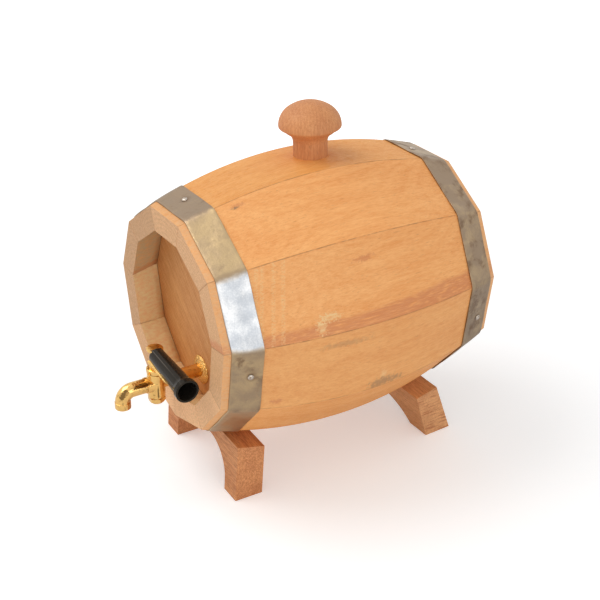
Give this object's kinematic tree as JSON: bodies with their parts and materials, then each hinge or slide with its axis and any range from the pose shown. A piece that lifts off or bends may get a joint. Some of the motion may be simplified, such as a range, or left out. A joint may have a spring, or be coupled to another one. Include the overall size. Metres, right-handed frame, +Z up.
{
  "type": "oak cask liquor dispenser",
  "caption": "Small faceted oak cask lying on arched wooden feet, with steel hoops, a lift-out turned bung and a brass plug tap with a bent spout and a black grip.",
  "frame": {"origin": "on the surface the feet stand on, under the middle of the whole object", "axes": "+Z up; -Y towards the tap, along the cask; +X to the side the closed lever points to"},
  "size_m": [0.2162, 0.2894, 0.2893],
  "materials": {
    "cask_oak": "oiled, satin",
    "bung_wood": "turned, satin",
    "foot_wood": "planed, matte",
    "hoop_steel": "galvanised, dull",
    "nail_steel": "bright, worn",
    "tap_brass": "polished",
    "grip_plastic": "glossy",
    "seal_rubber": "matte"
  },
  "bodies": {
    "cask": {"stave_01": "cask_oak", "stave_02": "cask_oak", "stave_03": "cask_oak", "stave_04": "cask_oak", "stave_05": "cask_oak", "stave_06": "cask_oak", "stave_07": "cask_oak", "stave_08": "cask_oak", "stave_09": "cask_oak", "stave_10": "cask_oak", "stave_11": "cask_oak", "front_head": "cask_oak", "rear_head": "cask_oak", "front_hoop": "hoop_steel", "rear_hoop": "hoop_steel", "front_hoop_nails": "nail_steel", "rear_hoop_nails": "nail_steel", "front_hoop_rivets": "hoop_steel", "rear_hoop_rivets": "hoop_steel", "front_foot": "foot_wood", "rear_foot": "foot_wood", "front_foot_screws": "nail_steel", "rear_foot_screws": "nail_steel", "tap_body": "tap_brass", "tap_spout": "tap_brass", "tap_rosette": "tap_brass", "tap_seal": "seal_rubber"},
    "tap_handle": {"tap_plug": "tap_brass", "tap_lever": "tap_brass", "lever_grip": "grip_plastic", "plug_washer": "tap_brass", "plug_nut": "tap_brass"},
    "bung": {"bung": "bung_wood"}
  },
  "joints": [
    {"name": "lever_turn", "type": "hinge", "parent": "cask", "child": "tap_handle", "pos_m": [0, -0.10975, 0.0885], "axis": [0, 0, 1], "range_deg": [-90, 0]},
    {"name": "bung_lift", "type": "slide", "parent": "cask", "child": "bung", "axis": [-0.0689, 0, 0.9976], "range_m": [0, 0.06]}
  ]
}
